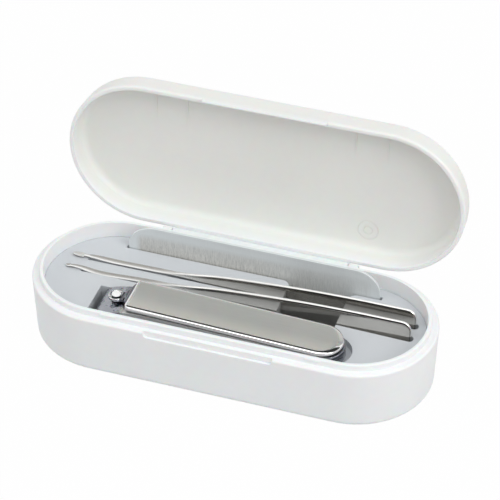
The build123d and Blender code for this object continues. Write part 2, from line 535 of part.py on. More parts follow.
def clipper_lever():
    """Lever laid along the upper arm: bevelled plate, cranked neck, ring round the post and its bar."""
    start, end = clip_point(LEVER_START, DRAWN_HEIGHT), clip_point(LEVER_END, DRAWN_HEIGHT)
    length = end[0] - start[0]
    slope = math.atan2(LEVER_FALL, length)
    top = Plane(origin=(start[0], CLIP_ROW, start[1]), x_dir=(math.cos(slope), 0, -math.sin(slope)),
                z_dir=(math.sin(slope), 0, math.cos(slope)))
    half = LEVER_WIDTH / 2
    outline = make_face([Line((0, -half), (length - half, -half)),
                         ThreePointArc((length - half, -half), (length, 0), (length - half, half)),
                         Line((length - half, half), (0, half)), Line((0, half), (0, -half))])
    outline = fillet(outline.vertices().group_by(Axis.X)[0], LEVER_CORNER)
    plate = extrude(top * outline, amount=-LEVER_THICK)
    upper = max(plate.faces().filter_by(GeomType.PLANE), key=lambda f: f.normal_at().Z)
    plate = chamfer(upper.edges(), LEVER_BEVEL)
    eye_z0 = clip_point(0, EYE_BOTTOM)[1]
    eye_z1 = eye_z0 + EYE_THICK
    ring_x = POST_X + EYE_RADIUS
    under = start[1] - LEVER_THICK
    neck_half = half - NECK_SHOULDER
    neck_plan = make_face(Polyline((ring_x - 0.7, CLIP_ROW - NECK_HALF), (start[0], CLIP_ROW - neck_half),
                                   (start[0] + 2, CLIP_ROW - neck_half), (start[0] + 2, CLIP_ROW + neck_half),
                                   (start[0], CLIP_ROW + neck_half), (ring_x - 0.7, CLIP_ROW + NECK_HALF), close=True))
    neck = make_face(Polyline((ring_x - 0.5, eye_z0), (ring_x + 0.3, eye_z0), (start[0] + 0.7, under),
                              (start[0] + 1.5, under + 0.3), (start[0] + 0.9, under + 0.9),
                              (ring_x, eye_z1), (ring_x - 0.5, eye_z1), close=True))
    neck = y_prism(neck, CLIP_ROW - half, CLIP_ROW + half)
    lever = plate + (neck & extrude(neck_plan, amount=TRAY_TOP * 2))
    lever += post(EYE_RADIUS, POST_X, CLIP_ROW, eye_z0, eye_z1)
    lever -= post(EYE_HOLE, POST_X, CLIP_ROW, eye_z0 - 1, eye_z1 + 1)
    bar = post(EYE_RADIUS, POST_X, CLIP_ROW, bar_level(), bar_level() + BAR_THICK)
    bar &= block(POST_X - EYE_RADIUS, POST_X - BAR_REACH, CLIP_ROW - EYE_RADIUS, CLIP_ROW + EYE_RADIUS,
                 bar_level(), bar_level() + BAR_THICK)
    return lever + bar


NODES = {
    "case_base": case_base,
    "case_lid": case_lid,
    "hinge_pin": hinge_pin,
    "tray_insert": tray_insert,
    "nail_file": nail_file,
    "ear_spoon": ear_spoon,
    "ear_scraper": ear_scraper,
    "clipper_lower_arm": clipper_lower_arm,
    "clipper_upper_arm": clipper_upper_arm,
    "clipper_rivet": clipper_rivet,
    "clipper_post": clipper_post,
    "clipper_lever": clipper_lever,
}

os.makedirs("parts", exist_ok=True)
for name, make in NODES.items():
    export_step(make(), f"parts/{name}.step")
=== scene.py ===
"""Looks of a manicure set case: hinged plastic shells, a moulded insert and the steel tools in it.

Dataclasses hold millimetres. Meshes are built in metres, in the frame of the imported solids.
"""

import logging
import math
from dataclasses import dataclass
from enum import Enum
from typing import Any

import bmesh
import bpy
import numpy as np
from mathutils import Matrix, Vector


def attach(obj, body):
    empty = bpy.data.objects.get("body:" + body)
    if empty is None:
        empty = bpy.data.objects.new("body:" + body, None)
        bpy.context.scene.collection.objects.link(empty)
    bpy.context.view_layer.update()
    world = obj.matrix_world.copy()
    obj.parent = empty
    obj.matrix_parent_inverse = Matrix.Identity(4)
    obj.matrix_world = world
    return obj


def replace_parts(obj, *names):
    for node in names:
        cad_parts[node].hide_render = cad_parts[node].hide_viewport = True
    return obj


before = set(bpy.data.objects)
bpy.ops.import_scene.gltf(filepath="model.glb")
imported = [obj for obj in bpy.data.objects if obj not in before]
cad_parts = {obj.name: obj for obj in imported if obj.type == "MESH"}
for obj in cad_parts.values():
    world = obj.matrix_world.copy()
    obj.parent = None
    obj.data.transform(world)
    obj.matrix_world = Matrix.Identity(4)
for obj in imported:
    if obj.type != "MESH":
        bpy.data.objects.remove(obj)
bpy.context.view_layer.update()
MM = 0.001
RIGHT_ANGLE = math.pi / 2
CREASE = 40.0  # degrees
MERGE = 2e-7  # metres
BEVEL_SAMPLES = 6
QUARTER_POINTS = 9  # points on a quarter of a rounded section
NOISE_SPAN = (0.3, 0.7)  # noise values between which a colour changes
BRUSHED, DRAWN = 5200.0, 4600.0  # lines per metre
LOG = logging.getLogger("manicure_case")
Array, Material, Socket = np.ndarray, bpy.types.Material, bpy.types.NodeSocket
Colour = tuple[float, float, float]
Point = tuple[float, float, float]
Span = tuple[float, float]


# --- shader expressions
def feed(socket: Socket, value: Any) -> None:
    """Give an input its value, as a link or as a constant.

    Args:
        socket: The input.
        value: Wire, output socket, number, vector or linear colour.
    """
    value = value.source if isinstance(value, Wire) else value
    if isinstance(value, Socket):
        socket.id_data.links.new(value, socket)
    elif isinstance(value, tuple) and socket.type == "RGBA":
        socket.default_value = (*value, 1.0)
    else:
        socket.default_value = value


class Wire:
    """A number on a shader socket that can be used in Python expressions."""

    def __init__(self, tree: bpy.types.NodeTree, source: Any) -> None:
        """Wrap an output socket or a plain number, for Math nodes that go into the tree."""
        self.tree, self.source = tree, source

    def _math(self, operation: str, *values: Any, clamp: bool = False) -> "Wire":
        """Add one Math node.

        Args:
            operation: Name of the Math operation.
            values: Wires or numbers for its inputs.
            clamp: Whether the result is held between 0 and 1.

        Returns:
            The node's result.
        """
        node = self.tree.nodes.new("ShaderNodeMath")
        node.operation = operation
        node.use_clamp = clamp
        for socket, value in zip(node.inputs, values):
            feed(socket, value)
        return Wire(self.tree, node.outputs[0])

    def __add__(self, other: Any) -> "Wire":
        """Sum."""
        return self._math("ADD", self, other)

    __radd__ = __add__

    def __mul__(self, other: Any) -> "Wire":
        """Product."""
        return self._math("MULTIPLY", self, other)

    __rmul__ = __mul__

    def __sub__(self, other: Any) -> "Wire":
        """Difference."""
        return self._math("SUBTRACT", self, other)

    def __rsub__(self, other: Any) -> "Wire":
        """Difference from a number."""
        return self._math("SUBTRACT", other, self)

    def __abs__(self) -> "Wire":
        """Size without its sign."""
        return self._math("ABSOLUTE", self)

    def at_least(self, other: Any) -> "Wire":
        """Larger of two values."""
        return self._math("MAXIMUM", self, other)

    def ramp(self, low: float, high: float) -> "Wire":
        """Share of the way from low to high, held between 0 and 1."""
        return self._math("MULTIPLY", self - low, 1.0 / (high - low), clamp=True)

    def reach(self, low: float, high: float) -> "Wire":
        """Share of the way between two lengths in millimetres, held between 0 and 1."""
        return self.ramp(low * MM, high * MM)


def seen_directly(tree: bpy.types.NodeTree) -> Wire:
    """1 for a ray from the camera or from a polished surface, and 0 for any other."""
    path = tree.nodes.new("ShaderNodeLightPath")
    glossy = Wire(tree, path.outputs["Is Glossy Ray"])
    return Wire(tree, path.outputs["Is Camera Ray"]).at_least(glossy)


class Grain(Enum):
    """Direction that a noise is drawn out in, as multipliers of its frequency along each axis."""

    NONE = (1.0, 1.0, 1.0)
    ALONG = (0.03, 1.0, 1.0)
    UPRIGHT = (1.0, 1.0, 0.03)
    STREAKED = (1.0, 1.0, 0.1)
    COMBED = (1.0, 1.0, 0.16)


class Shader:
    """A material's node tree with one way to add any node."""

    def __init__(self, name: str) -> None:
        """Start an empty material.

        Args:
            name: Name of the material.
        """
        self.material = bpy.data.materials.new(name)
        self.material.use_nodes = True
        self.tree = self.material.node_tree
        self.tree.nodes.clear()
        coordinates = self.node("ShaderNodeTexCoord")
        self.place, self.normal = coordinates.outputs["Object"], coordinates.outputs["Normal"]

    def node(self, kind: str, settings: dict[str, Any] | None = None,
             **sockets: Any) -> bpy.types.Node:
        """Add a node, set it up and then fill its sockets.

        Args:
            kind: Node type.
            settings: Properties by name.
            sockets: Values or links by input name, with _ for a space.

        Returns:
            The node.
        """
        node = self.tree.nodes.new(kind)
        for key, value in (settings or {}).items():
            setattr(node, key, value)
        for key, value in sockets.items():
            name = key.replace("_", " ")
            feed(next(s for s in node.inputs if s.name == name and s.enabled), value)
        return node

    def split(self, vector: Socket) -> list[Wire]:
        """Three components of a vector."""
        node = self.node("ShaderNodeSeparateXYZ", Vector=vector)
        return [Wire(self.tree, output) for output in node.outputs]

    def fade(self) -> Wire:
        """The mesh's own fade value."""
        attribute = self.node("ShaderNodeAttribute", {"attribute_name": "fade"})
        return Wire(self.tree, attribute.outputs["Fac"])

    def noise(self, scale: float, detail: float = 3.0, grain: Grain = Grain.NONE) -> Wire:
        """Cloudy noise on Object coordinates.

        Args:
            scale: Features per metre.
            detail: Octaves.
            grain: Direction that it is drawn out in.

        Returns:
            Noise from 0 to 1.
        """
        place = self.node("ShaderNodeMapping", Vector=self.place, Scale=grain.value).outputs[0]
        field = self.node("ShaderNodeTexNoise", Vector=place, Scale=scale, Detail=detail)
        return Wire(self.tree, field.outputs[0])

    def mix(self, share: Any, first: Any, second: Any) -> Socket:
        """Mix two colours by a share.

        Args:
            share: Share of the second colour.
            first: Colour at 0.
            second: Colour at 1.

        Returns:
            The mixed colour.
        """
        node = self.node("ShaderNodeMix", {"data_type": "RGBA"})
        for number, value in ((0, share), (6, first), (7, second)):
            feed(node.inputs[number], value)
        return node.outputs[2]

    def rounded(self, edge: float) -> Socket:
        """Normal that rounds edges by a radius in millimetres."""
        return self.node("ShaderNodeBevel", {"samples": BEVEL_SAMPLES}, Radius=edge * MM).outputs[0]

    def bump(self, height: Wire, depth: float, under: Any = None) -> Socket:
        """Bump from a height.

        Args:
            height: Height from 0 to 1.
            depth: Depth of the relief in millimetres.
            under: Normal that the bump is added to.

        Returns:
            The bumped normal.
        """
        node = self.node("ShaderNodeBump", Height=height, Distance=depth * MM, Strength=1.0)
        if under is not None:
            feed(node.inputs["Normal"], under)
        return node.outputs[0]

    def glow(self, level: float) -> Socket:
        """White light of a level, where 1 is white."""
        return self.node("ShaderNodeEmission", Color=(1.0, 1.0, 1.0), Strength=level).outputs[0]

    def output(self, surface: Socket) -> Material:
        """The material, once its surface is joined to the output."""
        self.node("ShaderNodeOutputMaterial", Surface=surface)
        return self.material

    def finish(self, **sockets: Any) -> Material:
        """The material, once its surface is a Principled shader with these sockets."""
        return self.output(self.node("ShaderNodeBsdfPrincipled", **sockets).outputs[0])


# --- finishes
def linear(*levels: int) -> Colour:
    """Linear colour of screen levels from 0 to 255, by the sRGB curve."""
    shares = np.array(levels) / 255.0
    curve = np.where(shares <= 0.04045, shares / 12.92, ((shares + 0.055) / 1.055) ** 2.4)
    return tuple(float(c) for c in curve)


@dataclass(frozen=True)
class MouldedPlastic:
    """Moulded plastic: fine grain, soft clouding and rounded edges."""

    name: str
    light: Colour
    dark: Colour
    roughness: float
    grain_depth: float
    edge: float
    depth_glow: float = 0.0
    # painted shade: a darker, warmer colour for the faces inside a shell
    inner_painted_shade: Colour | None = None
    inner_shade_span: Span = (27.5, 31.0)
    inner_shade_mottle: float = 0.965
    back_span: Span = (0.1, 0.5)
    glow_scale: float = 0.0025
    refraction: float = 1.47

    def material(self) -> Material:
        """Material with clouds, grain, rounded edges and painted shade inside a shell that faces
        -Y.
        """
        s = Shader(self.name)
        cloud, grain, fleck = s.noise(38.0), s.noise(3200.0, 2.0), s.noise(420.0, 4.0)
        mottle = (cloud * 0.7 + fleck * 0.3).ramp(*NOISE_SPAN)
        colour = s.mix(mottle, self.dark, self.light)
        # paint shade on the faces inside the shell
        if self.inner_painted_shade:
            back = s.split(s.normal)[1].ramp(*self.back_span)
            inner = s.split(s.place)[1].reach(*self.inner_shade_span) * (1.0 - back)
            shaded = tuple(self.inner_shade_mottle * level for level in self.inner_painted_shade)
            colour = s.mix(inner, colour, s.mix(mottle, shaded, self.inner_painted_shade))
        return s.finish(
            Base_Color=colour,
            Roughness=self.roughness + 0.08 * (fleck - 0.5) + 0.05 * (cloud - 0.5),
            Normal=s.bump(grain * 0.6 + fleck * 0.4, self.grain_depth, s.rounded(self.edge)),
            Subsurface_Weight=self.depth_glow,
            Subsurface_Scale=self.glow_scale,
            IOR=self.refraction,
        )


@dataclass(frozen=True)
class Steel:
    """Steel that is brushed, polished or blasted matt."""

    name: str
    light: Colour
    dark: Colour
    roughness: float
    spread: float
    line_depth: float
    grain: Grain
    edge: float
    metallic: float = 1.0
    scales: Span = (BRUSHED, 160.0)
    line_share: float = 0.5

    def material(self) -> Material:
        """Material with lines, faint smears and rounded edges."""
        s = Shader(self.name)
        lines, smear = s.noise(self.scales[0], grain=self.grain), s.noise(self.scales[1])
        uneven = lines * self.line_share + smear * (1.0 - self.line_share)
        return s.finish(
            Base_Color=s.mix(uneven.ramp(*NOISE_SPAN), self.dark, self.light),
            Metallic=self.metallic,
            Roughness=self.roughness + self.spread * (lines * 0.6 + smear * 0.4 - 0.5),
            Normal=s.bump(lines, self.line_depth, s.rounded(self.edge)),
        )


@dataclass(frozen=True)
class ToolSteel:
    """Polished edges, duller flat sides and a drawn rod of a tool on edge, with painted light and
    shade.

    The spans flat_in and shade_in lie inside the half thickness, and handle_span about the neck.
    The other spans are heights of the surface's normal, and top_shade_span is of the fade value.
    """

    name: str
    row: float
    half: float
    neck: float
    tip: float
    # painted light near the tip: a positive share whitens the rod's grey top, a negative one greys
    # it more
    tip_painted_light: float
    flat_in: Span = (0.1, 0.02)
    shade_in: Span = (0.32, 0.22)
    handle_span: Span = (-4.0, 12.0)
    tip_fade: float = 0.6
    edge_up: Span = (0.6, 0.9)
    rod_up: Span = (0.62, 0.86)
    rod_under: Span = (-0.45, -0.15)
    top_shade_span: Span = (0.15, 0.55)
    line_depth: float = 0.0015
    light: Colour = linear(240, 239, 236)
    side: Colour = linear(196, 193, 187)
    # painted shade: the sides' colour at their upper edge
    under: Colour = linear(118, 113, 107)
    # painted dark reflection: the band under the edges' highlight, and painted shade under the rod
    edge: Colour = linear(80, 77, 73)
    # painted highlight: white on the edges where they face up, and on the rod's sides
    white: Colour = linear(254, 254, 252)
    # painted reflection: grey on the rod's top
    rod_painted_reflection: Colour = linear(176, 174, 170)

    def material(self) -> Material:
        """Material that is darker and rougher on the two flat sides, and satin on the rod.

        Painted shade darkens the sides most along the upper edge, by the mesh's own fade value. A
        painted highlight whitens the edges where they face up, with a band of painted dark
        reflection just under it. Painted light makes the rod grey on top, white on its sides and
        dark beneath.
        """
        s = Shader(self.name)
        x, y, _ = s.split(s.place)
        out = abs(y - self.row * MM)
        handle = x.reach(*(self.neck + past for past in self.handle_span))
        flat = out.reach(*(self.half - inside for inside in self.flat_in))
        # painted dark reflection: a band on the edge just above each flat side
        shade = out.reach(*(self.half - inside for inside in self.shade_in)) * (1.0 - flat) * handle
        level = s.split(s.normal)[2]
        # painted highlight where the edges face up
        painted_highlight_share = level.ramp(*self.edge_up) * (1.0 - flat) * (1.0 - shade)
        tip = 1.0 - x.reach(self.tip, self.tip + self.tip_fade)
        # painted reflection and highlight on the rod: grey on top, white on its sides
        top = s.mix(level.ramp(*self.rod_up) * (1.0 - tip * self.tip_painted_light), self.white, self.rod_painted_reflection)
        # painted shade beneath the rod
        drawn = s.mix((level - tip * 0.3).ramp(*self.rod_under), self.edge, top)
        lines, smear = s.noise(DRAWN, grain=Grain.ALONG), s.noise(140.0)
        # painted shade on the flat sides, darkest along the upper edge
        blade = s.mix(s.fade().ramp(*self.top_shade_span), self.under, self.side)
        painted_highlight = s.mix(painted_highlight_share, self.light, self.white)
        bare = s.mix(flat * (0.9 + 0.3 * (lines - 0.5)), painted_highlight, blade)
        uneven = 0.04 * (smear - 0.5) + 0.04 * (lines - 0.5)
        return s.finish(
            Base_Color=s.mix(handle, drawn, s.mix(shade * 0.85, bare, self.edge)),
            Metallic=0.3 + handle * (0.7 - painted_highlight_share * 0.6 - flat * 0.1),
            Roughness=0.26 + handle * (flat * 0.05 + painted_highlight_share * 0.2 - 0.2) + uneven,
            Normal=s.bump(lines, self.line_depth),
        )


@dataclass(frozen=True)
class ArmSteel:
    """Satin arms whose jaw and tail have facets from grinding, a polish and a painted dark
    reflection.
    """

    name: str
    jaw_end: float = -30.5
    jaw_fade: float = 2.0
    tail: float = 31.0
    tail_fade: float = 3.0
    edge: float = 0.35
    facet_depth: float = 0.45
    satin: Colour = linear(222, 222, 221)
    # painted dark reflection: darker chrome on the jaw and the tail
    ends_painted_dark: Colour = linear(154, 156, 163)

    def material(self) -> Material:
        """Material whose facets, as a coarse relief, die out away from the two ends."""
        s = Shader(self.name)
        x = s.split(s.place)[0]
        body = x.reach(self.jaw_end, self.jaw_end + self.jaw_fade)
        body = body * (1.0 - x.reach(self.tail, self.tail + self.tail_fade))
        facet, lines = s.noise(420.0, 0.0), s.noise(DRAWN, grain=Grain.ALONG)
        relief = facet * (1.0 - body) + lines * body * 0.02
        return s.finish(
            Base_Color=s.mix(body, self.ends_painted_dark, self.satin),
            Metallic=1.0 - body * 0.2,
            Roughness=0.06 + body * 0.26 + 0.04 * (lines - 0.5),
            Normal=s.bump(relief, self.facet_depth, s.rounded(self.edge)),
        )


@dataclass(frozen=True)
class LeverSteel:
    """Satin top of a lever whose bevelled rim is polished."""

    name: str
    up: Point
    row: float
    front_span: Span = (0.5, 6.5)
    top_span: Span = (0.985, 0.998)
    side_span: Span = (0.05, 0.4)
    line_depth: float = 0.004
    light: Colour = linear(238, 240, 238)
    dark: Colour = linear(228, 230, 228)
    front_tone: Colour = linear(255, 254, 247)
    polish: Colour = linear(238, 238, 238)

    def material(self) -> Material:
        """Material that is satin on the plate's top, and polished elsewhere.

        The satin is lighter towards its front edge, and the plate's sides are duller than its
        bevel.
        """
        s = Shader(self.name)
        facing = s.node("ShaderNodeVectorMath", {"operation": "DOT_PRODUCT"})
        feed(facing.inputs[0], s.normal)
        feed(facing.inputs[1], self.up)
        level = Wire(s.tree, facing.outputs["Value"])
        flat, side = level.ramp(*self.top_span), 1.0 - level.ramp(*self.side_span)
        lines, cloud = s.noise(BRUSHED, grain=Grain.ALONG), s.noise(70.0)
        # share of the way towards the front edge, where the satin turns lighter
        frontward = (self.row * MM - s.split(s.place)[1]).reach(*self.front_span)
        brushed = s.mix((lines * 0.5 + cloud * 0.5).ramp(*NOISE_SPAN), self.dark, self.light)
        uneven = flat * (0.32 + 0.1 * (lines - 0.5)) + side * 0.25 + 0.03 * (cloud - 0.5)
        return s.finish(
            Base_Color=s.mix(flat, self.polish, s.mix(frontward * 0.9, brushed, self.front_tone)),
            Metallic=1.0 - side * 0.6,
            Roughness=0.07 + uneven,
            Normal=s.bump(lines * flat, self.line_depth),
        )


@dataclass(frozen=True)
class CutSteel:
    """Cross-cut field of a nail file: fine upright streaks in warm grey that fade at its edge."""

    name: str
    plain: Colour
    light: Colour
    dark: Colour
    streak_span: Span = (0.34, 0.62)
    depth: float = 0.02

    def material(self) -> Material:
        """Material with streaks whose strength the mesh's own fade value sets."""
        s = Shader(self.name)
        fade, cloud = s.fade(), s.noise(60.0, 2.0)
        streak, fine = s.noise(3400.0, 4.0, Grain.STREAKED), s.noise(9000.0, grain=Grain.COMBED)
        share = (streak * 0.6 + fine * 0.4).ramp(*self.streak_span)
        return s.finish(
            Base_Color=s.mix(fade, self.plain, s.mix(share, self.dark, self.light)),
            Metallic=0.15,
            Roughness=0.46 + 0.14 * (fine - 0.5) + 0.1 * (cloud - 0.5),
            Normal=s.bump((streak * 0.5 + fine * 0.5) * fade, self.depth),
        )


def blasted(name: str, light: Colour, dark: Colour) -> Steel:
    """Matt steel with a faint upright grain, between two colours."""
    return Steel(name, light, dark, 0.42, 0.2, 0.003, Grain.UPRIGHT, 0.1, 0.15, (3600.0, 90.0), 0.4)


CASE_WHITE, CASE_SHADE = linear(243, 245, 246), linear(239, 241, 242)
BASE_PLASTIC = MouldedPlastic("case_base_look", CASE_WHITE, CASE_SHADE, 0.54, 0.004, 0.3, 0.3)
# the lid's inside carries painted shade, a darker and warmer grey
LID_PLASTIC = MouldedPlastic("case_lid_look", CASE_WHITE, CASE_SHADE, 0.42, 0.004, 0.3, 0.3,
                             linear(236, 238, 234))
INSERT_PLASTIC = MouldedPlastic("insert_plastic_look", linear(208, 212, 216), linear(204, 208, 212),
                                0.4, 0.003, 0.25)
POLISHED = Steel("polished_steel_look", linear(236, 236, 238), linear(222, 222, 225),
                 0.06, 0.05, 0.0015, Grain.ALONG, 0.15)
# painted shade: dark chrome for the lever's neck, in the lever's shadow, and the post's dark side
SHADE_CHROME = Steel("painted_shade_chrome_look", linear(112, 113, 119), linear(100, 101, 107),
                    0.05, 0.04, 0.001, Grain.NONE, 0.2)
# painted highlight: near-white matt steel for the post's dome
CROWN_HIGHLIGHT = blasted("crown_painted_highlight_look", linear(255, 255, 255), linear(252, 252, 252))
FILE_PLAIN = blasted("file_steel_look", linear(226, 231, 232), linear(219, 224, 226))
FILE_CUT = CutSteel("file_cut_look", linear(221, 226, 227), linear(218, 214, 206),
                    linear(142, 138, 130))


# --- surfaces
def add_object(name: str, data: bpy.types.ID) -> bpy.types.Object:
    """Object of that name and data, linked to the scene."""
    made = bpy.data.objects.new(name, data)
    bpy.context.scene.collection.objects.link(made)
    return made


def grid_faces(rows: int, columns: int, wrap_rows: bool, wrap_columns: bool) -> Array:
    """Quads of a grid of points.

    Args:
        rows, columns: Number of rows, and of points in a row.
        wrap_rows, wrap_columns: Whether the last row joins the first, and the last column.

    Returns:
        Corner numbers of each quad, counter-clockwise when rows go up and columns go right.
    """
    r = np.arange(rows if wrap_rows else rows - 1)[:, None]
    c = np.arange(columns if wrap_columns else columns - 1)[None, :]
    up, right = (r + 1) % rows, (c + 1) % columns
    corners = [r * columns + c, r * columns + right, up * columns + right, up * columns + c]
    return np.stack([q + 0 * r + 0 * c for q in corners], axis=-1).reshape(-1, 4)


@dataclass
class Piece:
    """One finished mesh object."""

    name: str
    body: str
    slot: str
    material: Material

    def from_grid(self, points: Array, wrap_rows: bool = False, wrap_columns: bool = False,
                  weighted: bool = True, fade: Array | None = None) -> bpy.types.Object:
        """Make the object from a grid of points in millimetres.

        Args:
            points: Array of rows × columns × 3.
            wrap_rows, wrap_columns: Whether the last row joins the first, and the last column.
            weighted: Whether large faces keep a flat shade next to rounded edges.
            fade: Strength of a pattern at each point, kept as the mesh's fade value.

        Returns:
            The object, riding on its body.
        """
        rows, columns = points.shape[:2]
        quads = grid_faces(rows, columns, wrap_rows, wrap_columns)
        mesh = bpy.data.meshes.new(self.name)
        mesh.from_pydata(points.reshape(-1, 3) * MM, [], quads.tolist())
        if fade is not None:
            values = mesh.attributes.new("fade", "FLOAT", "POINT").data
            values.foreach_set("value", fade.astype(np.float32).ravel())
        work = bmesh.new()
        work.from_mesh(mesh)
        bmesh.ops.remove_doubles(work, verts=work.verts, dist=MERGE)
        bmesh.ops.recalc_face_normals(work, faces=work.faces)
        work.to_mesh(mesh)
        work.free()
        mesh.shade_smooth()
        mesh.set_sharp_from_angle(angle=math.radians(CREASE))
        made = add_object(self.name, mesh)
        if weighted:
            made.modifiers.new("even_flats", "WEIGHTED_NORMAL").keep_sharp = True
        mesh.materials.append(self.material)
        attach(made, self.body)
        LOG.info("%s: %d faces on %s", self.name, len(mesh.polygons), self.body)
        return made


def dress(node: str, finish: Material) -> None:
    """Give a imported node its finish.

    Args:
        node: Name of the node.
        finish: Material of all its faces.
    """
    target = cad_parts[node]
    target.data.materials.clear()
    target.data.materials.append(finish)
    LOG.info("%s: dressed in %s", node, finish.name)


def smooth_line(knots: list[Span], at: Array) -> Array:
    """Natural cubic spline through knots.

    The second slopes m solve the usual tridiagonal system. Between two knots the height is the
    cubic that has their heights and second slopes.

    Args:
        knots: Points (x, height) in order of rising x.
        at: Places x to read.

    Returns:
        Heights at those places.
    """
    x, h = np.array(knots, float).T
    step, n = np.diff(x), len(x)
    system, right = np.eye(n), np.zeros(n)
    i = np.arange(1, n - 1)
    system[i, i - 1], system[i, i + 1] = step[i - 1], step[i]
    system[i, i] = 2 * (step[i - 1] + step[i])
    right[i] = 6 * (np.diff(h)[i] / step[i] - np.diff(h)[i - 1] / step[i - 1])
    m = np.linalg.solve(system, right)
    k = np.clip(np.searchsorted(x, at) - 1, 0, n - 2)
    a, b, w = x[k + 1] - at, at - x[k], step[k]
    bent = (m[k] * a ** 3 + m[k + 1] * b ** 3) / (6 * w)
    return bent + (h[k] / w - m[k] * w / 6) * a + (h[k + 1] / w - m[k + 1] * w / 6) * b


def smooth_step(share: Array) -> Array:
    """S-shaped way from 0 to 1: 3 s² − 2 s³ of a share s."""
    return share ** 2 * (3 - 2 * share)


def four_quarters(points: int) -> tuple[Array, Array, Array]:
    """Walk round the four corners of a rounded rectangle.

    Args:
        points: Points on a corner.

    Returns:
        Angle of each point, and the sides across and up that its corner lies on, as 1 or -1.
    """
    sweep = np.linspace(0, RIGHT_ANGLE, points)
    turn = np.concatenate([sweep + quarter * RIGHT_ANGLE for quarter in range(4)])
    return turn, np.repeat([1, -1, -1, 1], points), np.repeat([1, 1, -1, -1], points)


def rounded_sections(x: Array, y: float, z: Array, half_y: Array, half_z: Array,
                     corner_y: Array | float, corner_z: Array | float) -> Array:
    """Rounded rectangles standing across X.

    Each section is four quarter ellipses about the points that lie their two radii inside the
    rectangle's corners, joined by straight sides.

    Args:
        x, y, z: Middle of each section.
        half_y, half_z: Half width and half height of each section.
        corner_y, corner_z: Radii of each section's corners, across and in height.

    Returns:
        Array of sections × points × 3.
    """
    turn, sign_y, sign_z = four_quarters(QUARTER_POINTS)
    corner_y = np.minimum(corner_y, half_y)[:, None]
    corner_z = np.minimum(corner_z, half_z)[:, None]
    across = sign_y * (half_y[:, None] - corner_y) + corner_y * np.cos(turn)
    up = sign_z * (half_z[:, None] - corner_z) + corner_z * np.sin(turn)
    return np.stack([x[:, None] + 0 * across, across + y, up + z[:, None]], axis=-1)


def closed_ends(sections: Array) -> Array:
    """Sections with their two ends drawn together at the middle of each."""
    first, last = (np.broadcast_to(s.mean(0), (1, *s.shape)) for s in (sections[0], sections[-1]))
    return np.concatenate([first, sections, last])


def plate_surface(rim: Array, spine: Array, insets: Array, levels: Array,
                  normal: Array) -> Array:
    """Plate whose edge profile is carried round a rim.

    A point is the rim's point moved towards its spine point by the inset, then raised along the
    plate's normal by the level. The first and last inset reach the spine, so both faces are closed.

    Args:
        rim: Points round the rim.
        spine: Point on the middle line that belongs to each rim point.
        insets: Distance from the rim at each step of the profile; infinity is the spine.
        levels: Height along the normal at each step.
        normal: Unit normal of the plate.

    Returns:
        Array of profile steps × rim points × 3.
    """
    reach = np.linalg.norm(spine - rim, axis=1)
    share = np.minimum(insets[:, None] / np.maximum(reach, 1e-9)[None, :], 1.0)
    flat = rim[None] + (spine - rim)[None] * share[..., None]
    return flat + levels[:, None, None] * normal


def round_edge(thick: float, radius: float, steps: int = 6) -> tuple[Array, Array]:
    """Edge profile of a plate whose two edges are quarter circles.

    Args:
        thick: Thickness.
        radius: Radius of both edges.
        steps: Points on each quarter circle.

    Returns:
        Insets from the rim and levels from the lower face.
    """
    turn = np.linspace(0, RIGHT_ANGLE, steps)
    out, up = radius * (1 - np.sin(turn)), radius * (1 - np.cos(turn))
    insets = np.concatenate([[np.inf, radius * 3], out, up, [radius * 3, np.inf]])
    return insets, np.concatenate([[0, 0], up, thick - out, [thick, thick]])


# --- case
@dataclass
class Case:
    """Case shells, hinge pin and moulded insert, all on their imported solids."""

    def build(self) -> None:
        """Dress the shells, the pin and the insert."""
        for node, look in (("case_base", BASE_PLASTIC), ("case_lid", LID_PLASTIC),
                           ("hinge_pin", POLISHED), ("tray_insert", INSERT_PLASTIC)):
            dress(node, look.material())


